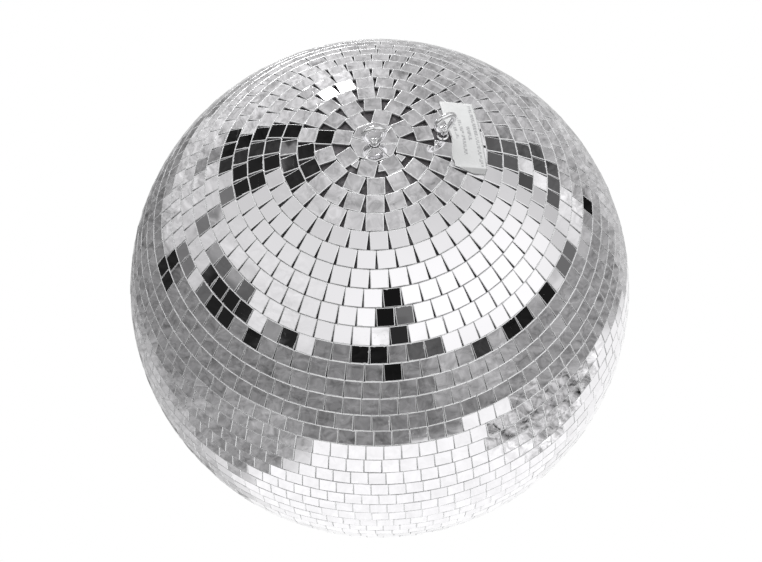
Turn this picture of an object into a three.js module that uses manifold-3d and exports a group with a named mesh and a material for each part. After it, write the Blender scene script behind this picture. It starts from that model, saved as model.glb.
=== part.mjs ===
// Mirror ball, 300 mm across its glass: a hollow two-part core covered in rows of flat mirror tiles, hung
// from a pear-shaped eye that turns in a domed backing plate, with a second eye for a safety wire.
// Millimetres, +Z up. The origin is where a hook bears on the inside of the hanging eye.
import * as THREE from "three";
import { mergeVertices } from "three/addons/utils/BufferGeometryUtils.js";
import Module from "manifold-3d";

// Ball and tiles
const BALL_RADIUS = 150; // to the middle of a mirror face
const TILE_THICKNESS = 1.8;
const ROW_COUNT = 45;
const CAP_ANGLE = THREE.MathUtils.degToRad(4.75); // from a pole to the edge of the nearest row
const ROW_ANGLE = (Math.PI - 2 * CAP_ANGLE) / ROW_COUNT;
const GLUE_GAP = 0.4; // bed of glue between the core and the backs of the tiles
const PIECE_GAP = 0.3; // clearance that neighbouring solids keep
const SIDES = 24; // facets round the core and every row

// Core and what is inside it
const CORE_RADIUS = BALL_RADIUS - TILE_THICKNESS - GLUE_GAP;
const CORE_WALL = 2.2;
const CORE_STEPS = 10; // facets from pole to equator
const PLATE_RADIUS = CORE_RADIUS - CORE_WALL - 3 * PIECE_GAP;
const PLATE_THICKNESS = 2;
const PLATE_ANGLE = THREE.MathUtils.degToRad(22);
const PLATE_STEPS = 4;

// Mirror pieces at the poles
const CAP_APOTHEM = 11;
const CAP_SIDES = 8;
const CAP_BORE = 3.4;
const CAP_CUTS = [46, 165, 242, 306, 352].map(THREE.MathUtils.degToRad); // where the top octagon is cut

// Eyes
const WIRE_RADIUS = 1.5;
const WIRE_SIDES = 10;
const LOOP_HALF_WIDTH = 5.35; // to the middle of the wire
const LOOP_HALF_HEIGHT = 6.1;
const LOOP_PEAR = 0.22; // how far the loop narrows towards its shank
const LOOP_OPEN_ANGLE = 0.45; // where each end of the bent wire meets the shank
const LOOP_STEPS = 22;
const SHANK_RADIUS = 2.5;
const SHOULDER_RADIUS = 3.2;
const SHOULDER_HEIGHT = 2.4;
const BORE_CLEARANCE = 0.5;
const ROUND_SIDES = 16;
const NUT_RADIUS = 4.6; // across corners / 2
const NUT_HEIGHT = 4;
const WASHER_RADIUS = 5;
const WASHER_HEIGHT = 1;
const THREAD_PAST_NUT = 1.5;

// The hanging eye stands on the pole
const LOOP_LIFT = -0.3; // under the loop, above the mirror faces: its foot dips into the bore
const LOOP_FOOT = BALL_RADIUS + LOOP_LIFT + WIRE_RADIUS; // middle of the wire at the foot of the loop
const BEARING_HEIGHT = LOOP_FOOT + 2 * LOOP_HALF_HEIGHT - WIRE_RADIUS;
const HANGING_EYE_TURN = THREE.MathUtils.degToRad(7);

// The safety eye stands in the place of one missing tile of the third row
const SAFETY_ROW = 3;
const SAFETY_AZIMUTH = THREE.MathUtils.degToRad(11);
const SAFETY_COLATITUDE = THREE.MathUtils.degToRad(14.6);
const SAFETY_LEAN = THREE.MathUtils.degToRad(6);
const SAFETY_LOOP_FOOT = 6.9; // above the core
const SAFETY_NUT_DROP = 7; // top of its nut, below the core's outer face
const COLLAR_RADIUS = 3.0;
const COLLAR_HEIGHT = 1.5;
const SAFETY_EYE_TURN = THREE.MathUtils.degToRad(18);

// Warning label, stuck over the tiles beside the safety eye
const LABEL_WIDTH = 19;
const LABEL_LENGTH = 46;
const LABEL_THICKNESS = 0.5;
const LABEL_LIFT = 0.8; // above the middle of a mirror face
const LABEL_COLATITUDE = THREE.MathUtils.degToRad(19.5);
const LABEL_AZIMUTH = THREE.MathUtils.degToRad(12);
const LABEL_TURN = THREE.MathUtils.degToRad(-5.5);

const wasm = await Module();
wasm.setup();

// Finishes
const mirrorGlass = () => new THREE.MeshStandardMaterial({ color: 0xe9e7ea, roughness: 0.04, metalness: 1 });
const corePlastic = () => new THREE.MeshStandardMaterial({ color: 0x2b292b, roughness: 0.65, metalness: 0 });
const zincSteel = () => new THREE.MeshStandardMaterial({ color: 0xc9c8c6, roughness: 0.28, metalness: 1 });
const pressedSteel = () => new THREE.MeshStandardMaterial({ color: 0x8f9092, roughness: 0.45, metalness: 1 });
const labelFilm = () => new THREE.MeshStandardMaterial({ color: 0xe8e9e8, roughness: 0.55, metalness: 0 });

// Solids: joining and cutting

function toSolid(geometry) {
  const bare = geometry.clone();
  bare.deleteAttribute("normal");
  bare.deleteAttribute("uv");
  const merged = mergeVertices(bare, 1e-4);
  return new wasm.Manifold(
    new wasm.Mesh({
      numProp: 3,
      vertProperties: new Float32Array(merged.attributes.position.array),
      triVerts: new Uint32Array(merged.index.array),
    }),
  );
}

function toGeometry(solid) {
  const mesh = solid.getMesh();
  const geometry = new THREE.BufferGeometry();
  geometry.setAttribute("position", new THREE.BufferAttribute(mesh.vertProperties, mesh.numProp));
  geometry.setIndex(new THREE.BufferAttribute(mesh.triVerts, 1));
  geometry.computeVertexNormals();
  return geometry;
}

function join(geometries) {
  const solids = geometries.map(toSolid);
  return toGeometry(solids.reduce((sum, solid) => sum.add(solid)));
}

function cut(geometry, cutters) {
  return toGeometry(cutters.map(toSolid).reduce((rest, cutter) => rest.subtract(cutter), toSolid(geometry)));
}

// Basic shapes, all round the Z axis

function upright(radius, bottom, top, sides = ROUND_SIDES) {
  const geometry = new THREE.CylinderGeometry(radius, radius, top - bottom, sides);
  return geometry.rotateX(Math.PI / 2).translate(0, 0, (top + bottom) / 2);
}

// A turned shape from [radius, height] points. Its facets straddle the true circle.
function turned(profile) {
  const spread = 2 / (1 + Math.cos(Math.PI / SIDES));
  const points = profile.map(([radius, height]) => new THREE.Vector2(radius * spread, height));
  return new THREE.LatheGeometry(points, SIDES).rotateX(Math.PI / 2);
}

function arcPoints(radius, from, to, steps) {
  return Array.from({ length: steps + 1 }, (_, step) => {
    const angle = from + ((to - from) * step) / steps;
    return [radius * Math.sin(angle), radius * Math.cos(angle)];
  });
}

function bored(geometry, boreRadius, bottom, top) {
  return cut(geometry, [upright(boreRadius, bottom - 1, top + 1)]);
}

// Rows of mirror tiles

function rowMiddle(row) {
  return CAP_ANGLE + ROW_ANGLE * (row - 0.5);
}

// One row as a closed ring with the section of a tile.
function mirrorRow(row) {
  const middle = rowMiddle(row);
  const back = BALL_RADIUS - TILE_THICKNESS;
  const halfTile = back * Math.tan(ROW_ANGLE / 2) - PIECE_GAP / 2;
  const corner = (radius, along) => [
    radius * Math.sin(middle) + along * Math.cos(middle),
    radius * Math.cos(middle) - along * Math.sin(middle),
  ];
  const section = [
    corner(back, -halfTile),
    corner(back, halfTile),
    corner(BALL_RADIUS, halfTile),
    corner(BALL_RADIUS, -halfTile),
    corner(back, -halfTile),
  ];
  return turned(section);
}

// The gap that the missing tile leaves for the safety eye.
function missingTile() {
  const tile = 2 * BALL_RADIUS * Math.tan(ROW_ANGLE / 2);
  const middle = rowMiddle(SAFETY_ROW);
  const gap = new THREE.BoxGeometry(2 * tile, tile, 6 * TILE_THICKNESS);
  gap.rotateY(middle);
  gap.translate(BALL_RADIUS * Math.sin(middle), 0, BALL_RADIUS * Math.cos(middle));
  return gap.rotateZ(SAFETY_AZIMUTH);
}

function octagonRadius(angle) {
  const side = (2 * Math.PI) / CAP_SIDES;
  const fromMiddle = (((angle % side) + side) % side) - side / 2;
  return CAP_APOTHEM / Math.cos(fromMiddle);
}

// One cut wedge of the octagon round the hanging eye, between two cuts.
function capWedge(from, to) {
  const side = (2 * Math.PI) / CAP_SIDES;
  const angles = [from];
  for (let corner = Math.ceil(from / side) * side; corner < to; corner += side) {
    if (corner > from) angles.push(corner);
  }
  angles.push(to);
  const outer = angles.map((angle) => [octagonRadius(angle), angle]);
  const inner = [to, (from + to) / 2, from].map((angle) => [CAP_BORE, angle]);
  const points = [...outer, ...inner].map(
    ([radius, angle]) => new THREE.Vector2(radius * Math.cos(angle), radius * Math.sin(angle)),
  );
  const middle = (from + to) / 2;
  const wedge = new THREE.ExtrudeGeometry(new THREE.Shape(points), { depth: TILE_THICKNESS, bevelEnabled: false });
  return wedge.translate(
    PIECE_GAP * Math.cos(middle),
    PIECE_GAP * Math.sin(middle),
    BALL_RADIUS - TILE_THICKNESS,
  );
}

function bottomMirror() {
  return upright(CAP_APOTHEM, -BALL_RADIUS, TILE_THICKNESS - BALL_RADIUS, CAP_SIDES);
}

// Core

function upperCore() {
  const inside = CORE_RADIUS - CORE_WALL;
  const half = [
    ...arcPoints(CORE_RADIUS, 0, Math.PI / 2, CORE_STEPS),
    ...arcPoints(inside, 0, Math.PI / 2, CORE_STEPS).reverse(),
  ];
  const raised = half.map(([radius, height]) => [radius, Math.max(height, PIECE_GAP / 2)]);
  return turned(raised.reverse());
}

function lowerCore() {
  return upperCore().rotateX(Math.PI);
}

function backingPlate() {
  const inside = PLATE_RADIUS - PLATE_THICKNESS;
  const shell = [
    ...arcPoints(PLATE_RADIUS, 0, PLATE_ANGLE, PLATE_STEPS),
    ...arcPoints(inside, 0, PLATE_ANGLE, PLATE_STEPS).reverse(),
  ];
  return turned(shell.reverse());
}

// Eyes: a pear-shaped loop of wire on a threaded shank, standing up along Z

class PearCurve extends THREE.Curve {
  getPoint(share, target = new THREE.Vector3()) {
    const angle = LOOP_OPEN_ANGLE + share * 2 * (Math.PI - LOOP_OPEN_ANGLE);
    const across = LOOP_HALF_WIDTH * Math.sin(angle) * (1 - LOOP_PEAR * Math.cos(angle));
    return target.set(across, 0, LOOP_HALF_HEIGHT * (1 - Math.cos(angle)));
  }
}

function wireSection() {
  const corners = Array.from({ length: WIRE_SIDES }, (_, step) => {
    const angle = (2 * Math.PI * step) / WIRE_SIDES;
    return new THREE.Vector2(WIRE_RADIUS * Math.cos(angle), WIRE_RADIUS * Math.sin(angle));
  });
  return new THREE.Shape(corners);
}

// The loop's foot is at Z = 0 and its shank reaches down to shankEnd.
function eye(shankEnd) {
  const path = { steps: LOOP_STEPS, extrudePath: new PearCurve() };
  const loop = new THREE.ExtrudeGeometry(wireSection(), path);
  const shoulder = upright(SHOULDER_RADIUS, -WIRE_RADIUS, SHOULDER_HEIGHT - WIRE_RADIUS);
  const shank = upright(SHANK_RADIUS, shankEnd, 0);
  return [loop, shoulder, shank];
}

function nut(top) {
  return bored(upright(NUT_RADIUS, top - NUT_HEIGHT, top, 6), SHANK_RADIUS + PIECE_GAP, top - NUT_HEIGHT, top);
}

function washer(top) {
  const disc = upright(WASHER_RADIUS, top - WASHER_HEIGHT, top);
  return bored(disc, SHANK_RADIUS + PIECE_GAP, top - WASHER_HEIGHT, top);
}

// Warning label: a thin film bent to the ball
function warningLabel() {
  const film = new THREE.BoxGeometry(LABEL_WIDTH, LABEL_LENGTH, LABEL_THICKNESS, 2, 6, 1);
  const turn = new THREE.Matrix4().makeRotationZ(LABEL_AZIMUTH)
    .multiply(new THREE.Matrix4().makeRotationY(LABEL_COLATITUDE))
    .multiply(new THREE.Matrix4().makeRotationZ(LABEL_TURN));
  const position = film.attributes.position;
  const point = new THREE.Vector3();
  for (let index = 0; index < position.count; index += 1) {
    point.fromBufferAttribute(position, index);
    const height = BALL_RADIUS + LABEL_LIFT + LABEL_THICKNESS / 2 + point.z;
    point.setZ(BALL_RADIUS).setLength(height).applyMatrix4(turn);
    position.setXYZ(index, point.x, point.y, point.z);
  }
  return film;
}

// Assembly. Heights inside the ball group are above the ball's middle.

const mirrorBall = new THREE.Group();
const ball = new THREE.Group();
ball.position.z = -BEARING_HEIGHT;
mirrorBall.add(ball);

const safetyStand = new THREE.Group();
safetyStand.position.set(
  CORE_RADIUS * Math.sin(SAFETY_COLATITUDE) * Math.cos(SAFETY_AZIMUTH),
  CORE_RADIUS * Math.sin(SAFETY_COLATITUDE) * Math.sin(SAFETY_AZIMUTH),
  CORE_RADIUS * Math.cos(SAFETY_COLATITUDE),
);
safetyStand.rotation.set(0, SAFETY_LEAN, SAFETY_AZIMUTH, "ZYX");
ball.add(safetyStand);

function add(parent, name, geometry, material) {
  const mesh = new THREE.Mesh(geometry, material);
  mesh.name = name;
  parent.add(mesh);
  return mesh;
}

// A bore through the core and the plate, in line with the safety eye's shank.
function safetyBore(radius) {
  safetyStand.updateMatrix();
  return upright(radius, -2 * SAFETY_NUT_DROP, SAFETY_NUT_DROP).applyMatrix4(safetyStand.matrix);
}

function addCore() {
  const loose = SHANK_RADIUS + BORE_CLEARANCE;
  const poleBore = (radius) => upright(radius, PLATE_RADIUS - 2 * NUT_HEIGHT, BALL_RADIUS);
  const coreBores = [poleBore(loose + PIECE_GAP), safetyBore(loose)];
  add(ball, "upper_core", cut(upperCore(), coreBores), corePlastic());
  add(ball, "lower_core", lowerCore(), corePlastic());
  add(ball, "backing_plate", cut(backingPlate(), [poleBore(loose), safetyBore(loose)]), pressedSteel());
}

function addHangingEye() {
  const washerTop = PLATE_RADIUS - PLATE_THICKNESS - 2 * PIECE_GAP;
  const nutTop = washerTop - WASHER_HEIGHT - PIECE_GAP;
  const shankEnd = nutTop - NUT_HEIGHT - THREAD_PAST_NUT;
  const body = add(ball, "hanging_eye", join(eye(shankEnd - LOOP_FOOT)), zincSteel());
  body.position.z = LOOP_FOOT;
  body.rotation.z = HANGING_EYE_TURN;
  add(ball, "hanging_eye_washer", washer(washerTop), zincSteel());
  add(ball, "hanging_eye_nut", nut(nutTop), zincSteel());
}

function addSafetyEye() {
  const shankEnd = -SAFETY_NUT_DROP - NUT_HEIGHT - THREAD_PAST_NUT - SAFETY_LOOP_FOOT;
  const collar = upright(COLLAR_RADIUS, PIECE_GAP, PIECE_GAP + COLLAR_HEIGHT);
  const solids = [...eye(shankEnd), collar.translate(0, 0, -SAFETY_LOOP_FOOT)];
  const body = add(safetyStand, "safety_eye", join(solids), zincSteel());
  body.position.z = SAFETY_LOOP_FOOT;
  body.rotation.z = SAFETY_EYE_TURN;
  add(safetyStand, "safety_eye_nut", nut(-SAFETY_NUT_DROP), zincSteel());
}

function addMirrors() {
  CAP_CUTS.forEach((from, index) => {
    const to = CAP_CUTS[index + 1] ?? CAP_CUTS[0] + 2 * Math.PI;
    add(ball, "top_mirror_" + (index + 1), capWedge(from, to), mirrorGlass());
  });
  for (let row = 1; row <= ROW_COUNT; row += 1) {
    const ring = row === SAFETY_ROW ? cut(mirrorRow(row), [missingTile()]) : mirrorRow(row);
    add(ball, "mirror_row_" + String(row).padStart(2, "0"), ring, mirrorGlass());
  }
  add(ball, "bottom_mirror", bottomMirror(), mirrorGlass());
}

addCore();
addHangingEye();
addSafetyEye();
addMirrors();
add(ball, "warning_label", warningLabel(), labelFilm());

export default mirrorBall;
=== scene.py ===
"""Mirror ball: rows of square glass tiles on a dark core, two wire eyes and a warning label."""

import math
import random

import bmesh
import bpy
from bpy.props import FloatProperty, FloatVectorProperty, IntProperty, PointerProperty
from mathutils import Euler, Matrix, Vector


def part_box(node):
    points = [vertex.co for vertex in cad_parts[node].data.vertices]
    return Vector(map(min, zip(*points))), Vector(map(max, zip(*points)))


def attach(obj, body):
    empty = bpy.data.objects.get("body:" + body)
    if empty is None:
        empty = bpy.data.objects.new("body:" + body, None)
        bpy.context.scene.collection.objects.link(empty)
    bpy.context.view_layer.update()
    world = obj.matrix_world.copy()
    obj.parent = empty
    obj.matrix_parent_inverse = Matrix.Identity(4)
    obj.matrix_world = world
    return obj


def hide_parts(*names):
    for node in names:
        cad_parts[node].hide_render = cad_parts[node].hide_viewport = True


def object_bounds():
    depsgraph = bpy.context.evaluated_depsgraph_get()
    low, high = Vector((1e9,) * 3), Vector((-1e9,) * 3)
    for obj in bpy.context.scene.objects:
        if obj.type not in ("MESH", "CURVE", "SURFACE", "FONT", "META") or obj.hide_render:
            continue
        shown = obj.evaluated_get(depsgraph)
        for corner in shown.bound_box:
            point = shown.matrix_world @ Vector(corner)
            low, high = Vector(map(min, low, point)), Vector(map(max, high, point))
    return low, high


bl_info = {
    "name": "Mirror ball",
    "version": (1, 0, 0),
    "blender": (4, 5, 0),
    "location": "3D View > Sidebar > Mirror ball",
    "description": "Dresses the frame of a hanging mirror ball with tiles, eyes, a label and a studio",
    "category": "Object",
}

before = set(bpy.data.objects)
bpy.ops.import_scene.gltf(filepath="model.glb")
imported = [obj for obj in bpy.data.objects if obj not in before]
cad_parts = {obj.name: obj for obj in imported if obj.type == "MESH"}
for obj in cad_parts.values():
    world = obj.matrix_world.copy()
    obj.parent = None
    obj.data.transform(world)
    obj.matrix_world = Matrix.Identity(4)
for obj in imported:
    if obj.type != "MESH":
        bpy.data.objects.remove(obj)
CAD_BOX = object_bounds()

# Measured on the frame
ROW_NODES = sorted(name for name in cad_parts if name.startswith("mirror_row_"))
TOP_PIECES = sorted(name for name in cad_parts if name.startswith("top_mirror_"))
EQUATOR_LOW, EQUATOR_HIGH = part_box(ROW_NODES[len(ROW_NODES) // 2])
CENTRE_HEIGHT = (EQUATOR_LOW.z + EQUATOR_HIGH.z) / 2
BALL_RADIUS = CENTRE_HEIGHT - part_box("bottom_mirror")[0].z

MM = 0.001
LABEL_FLAP = 0.075  # share of the label's length that is its flap, below the crease


def length(name, millimetres, about):
    """A size in metres, given in millimetres."""
    return FloatProperty(name=name, default=millimetres * MM, unit="LENGTH", precision=5, description=about)


def angle(name, degrees, about):
    """An angle, given in degrees."""
    return FloatProperty(name=name, default=math.radians(degrees), subtype="ANGLE", description=about)


def colour(name, red, green, blue, about):
    """A plain colour."""
    default = (red, green, blue)
    return FloatVectorProperty(name=name, default=default, subtype="COLOR", min=0, max=1, description=about)


class TileSettings(bpy.types.PropertyGroup):
    """Sizes of the glass tiles and how neatly they are laid."""

    size: length("Tile size", 9.86, "Height of a tile, from row to row")
    width: length("Tile width", 9.50, "Width of a tile, along its row")
    thickness: length("Tile thickness", 1.8, "Thickness of the mirror glass")
    arris: length("Ground edge", 0.36, "Width of the ground slope round a tile's face")
    drop: length("Edge drop", 0.17, "How far the ground slope falls")
    # Below this depth a tile's side is painted dark: painted shade deep in the gaps between tiles.
    rough_cut: length("Rough cut", 0.9, "How far down a tile's side is pale from the cutting")
    draught: length("Draught", 0.04, "How much narrower a tile is at its back, each side")
    corner: length("Corner", 0.22, "How much is nipped off a tile's corners")
    joint: length("Joint", 0.02, "Least gap between two tiles of a row")
    pole_angle: angle("Pole angle", 4.75, "From a pole to the edge of the nearest row")
    skew: angle("Skew", 0.5, "How far the rows round the top pole are laid off centre")
    skewed_rows: IntProperty(name="Skewed rows", default=9, description="Rows over which the skew dies away")
    gap: length("Gap", 7.4, "Gap left in a row for the safety eye")
    tilt: angle("Tilt", 1.5, "Most that a tile leans out of true")
    twist: angle("Twist", 0.7, "Most that a tile turns in its own plane")
    sink: length("Sink", 0.08, "Most that a tile sits high or low")
    seed: IntProperty(name="Seed", default=11, description="Changes how the tiles are scattered")


class EyeSettings(bpy.types.PropertyGroup):
    """Sizes of the two wire eyes."""

    wire: length("Wire radius", 1.5, "Radius of the loop's wire")
    half_width: length("Half width", 5.35, "Half the loop's width, to the middle of the wire")
    half_height: length("Half height", 6.1, "Half the loop's height, to the middle of the wire")
    pear: FloatProperty(name="Pear", default=0.22, description="How far the loop narrows towards its shank")
    shank: length("Shank radius", 2.5, "Radius of the threaded shank")
    lift: length("Lift", -0.3, "From the pole's mirror faces to the underside of the hanging eye's loop")
    turn: angle("Hanging eye turn", 7, "Turn of the hanging eye's loop at rest")
    safety_azimuth: angle("Safety eye azimuth", 11, "Where the safety eye stands round the pole")
    safety_colatitude: angle("Safety eye colatitude", 14.6, "How far the safety eye stands from the pole")
    safety_lean: angle("Safety eye lean", 6, "How far the safety eye leans outwards")
    safety_turn: angle("Safety eye turn", 18, "Turn of the safety eye's loop on its shank")
    safety_foot: length("Safety loop foot", 6.9, "From the core to the foot of the safety eye's loop")
    collar: length("Collar radius", 3.4, "Radius of the safety eye's collar")


class LabelSettings(bpy.types.PropertyGroup):
    """Size and place of the warning label."""

    width: length("Label width", 19.8, "Width of the label")
    height: length("Label height", 49.5, "Length of the label with its flap")
    thickness: length("Film thickness", 0.15, "Thickness of the label's film")
    azimuth: angle("Label azimuth", 12, "Where the label lies round the pole")
    colatitude: angle("Label colatitude", 19.35, "How far the label's middle is from the pole")
    turn: angle("Label turn", -5.5, "Turn of the label in its own plane")


class FinishSettings(bpy.types.PropertyGroup):
    """Colours of the finishes."""

    silver: colour("Silvered glass", 0.89, 0.88, 0.90, "Reflection of the mirror glass")
    ground: colour("Ground glass", 0.96, 0.96, 0.97, "Cut and ground edges of the glass")
    # The dark colour of the cut sides is painted shade for the gaps between tiles.
    wall: colour("Cut glass", 0.10, 0.10, 0.105, "Sides of the cut glass, seen in the gaps")
    core: colour("Core", 0.06, 0.056, 0.06, "Moulded plastic of the core")
    zinc: colour("Zinc", 0.94, 0.94, 0.95, "Bright plated wire, nuts and washer")
    steel: colour("Steel", 0.36, 0.36, 0.37, "Pressed plate inside the top")
    film: colour("Label film", 0.63, 0.635, 0.635, "White film of the label")
    ink: colour("Label ink", 0.20, 0.20, 0.21, "Grey bars on the label")


class StageSettings(bpy.types.PropertyGroup):
    """Camera and studio."""

    distance: length("Camera distance", 1050, "From the ball's middle to the camera")
    elevation: angle("Camera elevation", 58.93, "Height of the camera above the ball's equator")
    roll: angle("Camera roll", 2.03, "How far the camera is tipped clockwise")
    aim_right: length("Aim right", 0.8, "How far right of the ball's middle the camera points")
    aim_up: length("Aim up", 4.4, "How far above the ball's middle the camera points")
    lens: FloatProperty(name="Lens", default=81.57, description="Focal length on a sensor 36 mm wide")
    room_tilt: angle("Room tilt", 32, "How far the reflected room leans back from the ball's axis")
    rim: FloatProperty(name="Rim light", default=0.8, description="Strength of the small light on the edges")
    key: FloatProperty(name="Key light", default=2.4, description="Strength of the soft light from behind")


SETTINGS = {
    "mirror_ball_tiles": TileSettings,
    "mirror_ball_eyes": EyeSettings,
    "mirror_ball_label": LabelSettings,
    "mirror_ball_finish": FinishSettings,
    "mirror_ball_stage": StageSettings,
}


# ---------------------------------------------------------------- nodes


def put(tree, kind, inputs=None, **settings):
    """Adds a node, sets its options, and gives each named input a value or a link."""
    node = tree.nodes.new(kind)
    for name, value in settings.items():
        setattr(node, name, value)
    for key, value in (inputs or {}).items():
        if isinstance(value, bpy.types.NodeSocket):
            tree.links.new(value, node.inputs[key])
        else:
            node.inputs[key].default_value = value
    return node


def calc(tree, operation, *values, clamp=False):
    """One step of arithmetic on values or sockets."""
    node = put(tree, "ShaderNodeMath", dict(enumerate(values)), operation=operation, use_clamp=clamp)
    return node.outputs[0]


def times(tree, first, second):
    """One value times another."""
    return calc(tree, "MULTIPLY", first, second)


def plus(tree, first, second):
    """One value added to another."""
    return calc(tree, "ADD", first, second)


def minus(tree, first, second):
    """The second value taken from the first."""
    return calc(tree, "SUBTRACT", first, second)


def ramp(tree, value, low, high, to_low=0.0, to_high=1.0, smooth=True):
    """Carries a value from one range to another, held at both ends."""
    inputs = {"Value": value, "From Min": low, "From Max": high, "To Min": to_low, "To Max": to_high}
    kind = "SMOOTHSTEP" if smooth else "LINEAR"
    return put(tree, "ShaderNodeMapRange", inputs, interpolation_type=kind).outputs[0]


def blend_colour(tree, share, first, second, kind="MIX"):
    """Mixes two colours."""
    node = put(tree, "ShaderNodeMix", data_type="RGBA", blend_type=kind)
    for index, value in ((0, share), (6, first), (7, second)):
        if isinstance(value, bpy.types.NodeSocket):
            tree.links.new(value, node.inputs[index])
        else:
            node.inputs[index].default_value = value if index == 0 else (*value[:3], 1)
    return node.outputs[2]


def blend_value(tree, share, first, second):
    """Mixes two numbers."""
    return put(tree, "ShaderNodeMix", {0: share, 2: first, 3: second}, data_type="FLOAT").outputs[0]


def add_socket(tree, name, kind, value=None, way="INPUT"):
    """Adds a named socket to a node group."""
    socket = tree.interface.new_socket(name=name, in_out=way, socket_type=kind)
    if value is not None:
        socket.default_value = value
    return socket


def noise(tree, vector, scale, detail=3.0, roughness=0.5):
    """Grey noise on a position."""
    inputs = {"Vector": vector, "Scale": scale, "Detail": detail, "Roughness": roughness}
    return put(tree, "ShaderNodeTexNoise", inputs).outputs[0]


def handling_group():
    """Shared wear: cloudy handling marks and fine scratches, as two masks."""
    tree = bpy.data.node_groups.new("Handling marks", "ShaderNodeTree")
    add_socket(tree, "Position", "NodeSocketVector")
    add_socket(tree, "Cloud Scale", "NodeSocketFloat", 40.0)
    add_socket(tree, "Scratch Scale", "NodeSocketFloat", 400.0)
    add_socket(tree, "Clouds", "NodeSocketFloat", way="OUTPUT")
    add_socket(tree, "Scratches", "NodeSocketFloat", way="OUTPUT")
    given = put(tree, "NodeGroupInput")
    clouds = noise(tree, given.outputs["Position"], given.outputs["Cloud Scale"], 4.0, 0.6)
    stretch = put(tree, "ShaderNodeMapping", {"Vector": given.outputs["Position"], "Scale": (1.0, 0.12, 1.0)})
    lines = noise(tree, stretch.outputs[0], given.outputs["Scratch Scale"], 2.0, 0.5)
    out = put(tree, "NodeGroupOutput")
    tree.links.new(ramp(tree, clouds, 0.38, 0.72), out.inputs["Clouds"])
    tree.links.new(ramp(tree, lines, 0.62, 0.70), out.inputs["Scratches"])
    return tree


def shared_group(make, name):
    """A node group made once and used by several materials."""
    return bpy.data.node_groups.get(name) or make()


def handling(tree, position, clouds, scratches):
    """Places the shared wear in a material."""
    group = put(tree, "ShaderNodeGroup", node_tree=shared_group(handling_group, "Handling marks"))
    tree.links.new(position, group.inputs["Position"])
    group.inputs["Cloud Scale"].default_value = clouds
    group.inputs["Scratch Scale"].default_value = scratches
    return group.outputs["Clouds"], group.outputs["Scratches"]


def new_material(name):
    """An empty material with its shader, and a position to read patterns from."""
    material = bpy.data.materials.new(name)
    material.use_nodes = True
    tree = material.node_tree
    shader = tree.nodes["Principled BSDF"]
    position = put(tree, "ShaderNodeTexCoord").outputs["Object"]
    return material, tree, shader, position


def feed(tree, shader, **sockets):
    """Links or sets the shader's inputs; underscores stand for spaces."""
    for name, value in sockets.items():
        socket = shader.inputs[name.replace("_", " ")]
        if isinstance(value, bpy.types.NodeSocket):
            tree.links.new(value, socket)
        else:
            socket.default_value = value


def raise_surface(tree, shader, height, strength, distance):
    """Gives the surface a fine relief."""
    inputs = {"Height": height, "Strength": strength, "Distance": distance}
    feed(tree, shader, Normal=put(tree, "ShaderNodeBump", inputs).outputs[0])


# ---------------------------------------------------------------- finishes


def shaded(colour_of, share):
    """A darker or lighter shade of a colour."""
    return [share * part for part in colour_of]


CHIP_REACH = 0.13  # of a tile's side, that the deepest chips reach in from its edges
CORNER_BITE = 0.15  # of a tile's side, that is broken off the worst corners
EDGE_METAL = 0.28  # how much less like metal the ground edges are than the silvering
EDGE_ROUGHNESS = 0.34
CUT_ROUGHNESS = 0.5


def silvered_glass(finish):
    """Silvered float glass: a clear mirror with bright ground edges, a few chips, and cut sides painted dark
    as shade in the gaps.
    """
    material, tree, shader, position = new_material("silvered_glass")
    edge = put(tree, "ShaderNodeAttribute", attribute_name="glass_edge").outputs["Fac"]
    tone_of_tile = put(tree, "ShaderNodeAttribute", attribute_name="tile_tone").outputs["Fac"]
    face_map = put(tree, "ShaderNodeUVMap", uv_map="tile").outputs[0]
    across = put(tree, "ShaderNodeSeparateXYZ", {0: face_map}).outputs
    u, v = (from_edge(tree, across[axis]) for axis in (0, 1))
    flakes = noise(tree, position, 1500.0, 3.0, 0.7)
    places = ramp(tree, noise(tree, position, 170.0, 2.0), 0.56, 0.66)
    reach = times(tree, times(tree, flakes, places), CHIP_REACH)
    chipped = ramp(tree, minus(tree, calc(tree, "MINIMUM", u, v), reach), 0.008, -0.004)
    bite = times(tree, flakes, CORNER_BITE)
    nipped = ramp(tree, minus(tree, plus(tree, u, v), bite), 0.02, -0.01)
    slope = ramp(tree, edge, 0.7, 0.9)
    ground = calc(tree, "MAXIMUM", slope, calc(tree, "MAXIMUM", chipped, nipped))
    # side marks the lower band of a tile's sides, painted dark with the cut-glass colour: painted shade in
    # the gaps.
    side = times(tree, ramp(tree, edge, 0.3, 0.4), ramp(tree, edge, 0.7, 0.6))
    clouds, scratches = handling(tree, position, 55.0, 700.0)
    dulled = plus(tree, times(tree, tone_of_tile, 0.10), times(tree, clouds, 0.05))
    silver = blend_colour(tree, dulled, finish.silver, shaded(finish.silver, 0.86))
    frosted = blend_colour(tree, flakes, shaded(finish.ground, 0.92), finish.ground)
    metal = minus(tree, 1.0, times(tree, ground, EDGE_METAL))
    metal = calc(tree, "SUBTRACT", metal, side, clamp=True)
    gloss = plus(tree, 0.012, times(tree, scratches, 0.04))
    feed(tree, shader,
         Base_Color=blend_colour(tree, side, blend_colour(tree, ground, silver, frosted), finish.wall),
         Metallic=metal,
         Roughness=blend_value(tree, side, blend_value(tree, ground, gloss, EDGE_ROUGHNESS), CUT_ROUGHNESS))
    raise_surface(tree, shader, noise(tree, position, 70.0, 1.0), 0.05, 0.0005)
    return material


def from_edge(tree, place):
    """How far a place across a tile, from 0 to 1, is from the nearer side."""
    return minus(tree, 0.5, calc(tree, "ABSOLUTE", minus(tree, place, 0.5)))


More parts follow.
